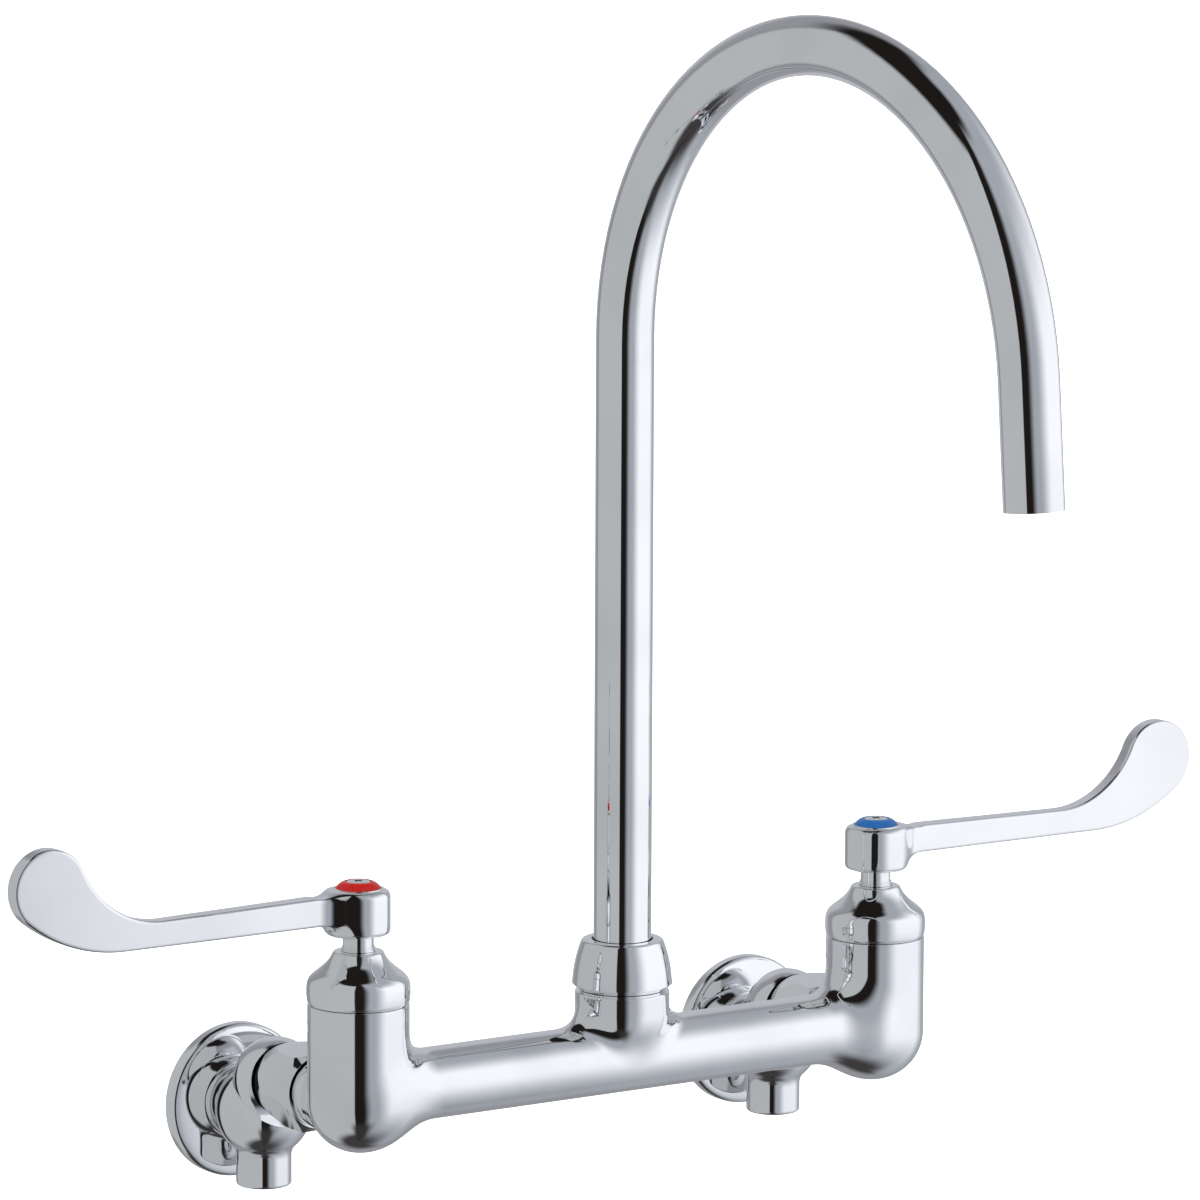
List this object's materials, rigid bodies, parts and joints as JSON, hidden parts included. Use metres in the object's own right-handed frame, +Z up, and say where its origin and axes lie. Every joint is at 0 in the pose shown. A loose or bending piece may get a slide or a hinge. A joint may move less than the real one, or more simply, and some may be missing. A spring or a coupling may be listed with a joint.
{
  "type": "wall-mount bridge faucet",
  "caption": "Chrome wall-mount bridge faucet with a swivel gooseneck spout, wrist-blade handles, hot and cold index rings, and inlet arms with stop valves.",
  "frame": {"origin": "on the wall's face, midway between the axes of the two supplies", "axes": "+Z up; +X along the bridge, to the right as the user faces the wall (the cold side); +Y into the wall, so the faucet stands at negative Y"},
  "size_m": [0.4598, 0.2957, 0.3919],
  "materials": {
    "chrome": "polished chrome plate",
    "satin_chrome": "chrome plate over a rough casting",
    "screw_chrome": "chrome plate, slightly worn in the drive",
    "brass": "machined",
    "ceramic": "lapped white ceramic",
    "rubber": "black, moulded",
    "nylon": "natural, turned",
    "fibre": "pressed fibre",
    "red_plastic": "gloss",
    "blue_plastic": "gloss"
  },
  "bodies": {
    "faucet_body": {"body_casting": "chrome", "lower_bearing": "nylon", "upper_bearing": "nylon", "spout_nut": "chrome", "hot_bonnet": "chrome", "hot_cartridge_housing": "chrome", "hot_body_seal": "rubber", "hot_seat_seal": "rubber", "hot_fixed_disc": "ceramic", "hot_thrust_washer": "nylon", "hot_union_nut": "chrome", "hot_union_washer": "fibre", "hot_inlet_arm": "satin_chrome", "hot_wall_flange": "chrome", "hot_stop_gland": "brass", "cold_bonnet": "chrome", "cold_cartridge_housing": "chrome", "cold_body_seal": "rubber", "cold_seat_seal": "rubber", "cold_fixed_disc": "ceramic", "cold_thrust_washer": "nylon", "cold_union_nut": "chrome", "cold_union_washer": "fibre", "cold_inlet_arm": "satin_chrome", "cold_wall_flange": "chrome", "cold_stop_gland": "brass"},
    "hot_handle": {"hot_stem": "brass", "hot_turning_disc": "ceramic", "hot_stem_seal_lower": "rubber", "hot_stem_seal_upper": "rubber", "hot_handle": "chrome", "hot_index_ring": "red_plastic", "hot_handle_screw": "screw_chrome"},
    "hot_stop_spindle": {"hot_stop_spindle": "brass", "hot_spindle_seal": "rubber"},
    "hot_stop_plug": {"hot_stop_plug": "brass", "hot_plug_washer": "rubber"},
    "cold_handle": {"cold_stem": "brass", "cold_turning_disc": "ceramic", "cold_stem_seal_lower": "rubber", "cold_stem_seal_upper": "rubber", "cold_handle": "chrome", "cold_index_ring": "blue_plastic", "cold_handle_screw": "screw_chrome"},
    "cold_stop_spindle": {"cold_stop_spindle": "brass", "cold_spindle_seal": "rubber"},
    "cold_stop_plug": {"cold_stop_plug": "brass", "cold_plug_washer": "rubber"},
    "spout": {"spout_tube": "chrome", "spout_sleeve": "brass", "spout_seal_lower": "rubber", "spout_seal_upper": "rubber"}
  },
  "joints": [
    {"name": "spout_swivel", "type": "hinge", "parent": "faucet_body", "child": "spout", "pos_m": [0, -0.079, 0.045], "axis": [0, 0, 1], "range_deg": [-100, 100]},
    {"name": "hot_handle_turn", "type": "hinge", "parent": "faucet_body", "child": "hot_handle", "pos_m": [-0.1016, -0.079, 0.07], "axis": [0, 0, 1], "range_deg": [0, 90]},
    {"name": "cold_handle_turn", "type": "hinge", "parent": "faucet_body", "child": "cold_handle", "pos_m": [0.1016, -0.079, 0.07], "axis": [0, 0, 1], "range_deg": [-90, 0]},
    {"name": "hot_stop_turn", "type": "hinge", "parent": "faucet_body", "child": "hot_stop_spindle", "pos_m": [-0.1016, -0.0198, -0.02], "axis": [0, 0, 1], "range_deg": [0, 1440.1]},
    {"name": "hot_stop_plug_slide", "type": "slide", "parent": "faucet_body", "child": "hot_stop_plug", "axis": [0, 0, 1], "range_m": [0, 0.006]},
    {"name": "cold_stop_turn", "type": "hinge", "parent": "faucet_body", "child": "cold_stop_spindle", "pos_m": [0.1016, -0.0198, -0.02], "axis": [0, 0, 1], "range_deg": [0, 1440.1]},
    {"name": "cold_stop_plug_slide", "type": "slide", "parent": "faucet_body", "child": "cold_stop_plug", "axis": [0, 0, 1], "range_m": [0, 0.006]}
  ],
  "couplings": [
    {"joint": "hot_stop_turn", "follows": "hot_stop_plug_slide", "rad_per_m": 4188.8},
    {"joint": "cold_stop_turn", "follows": "cold_stop_plug_slide", "rad_per_m": 4188.8}
  ]
}
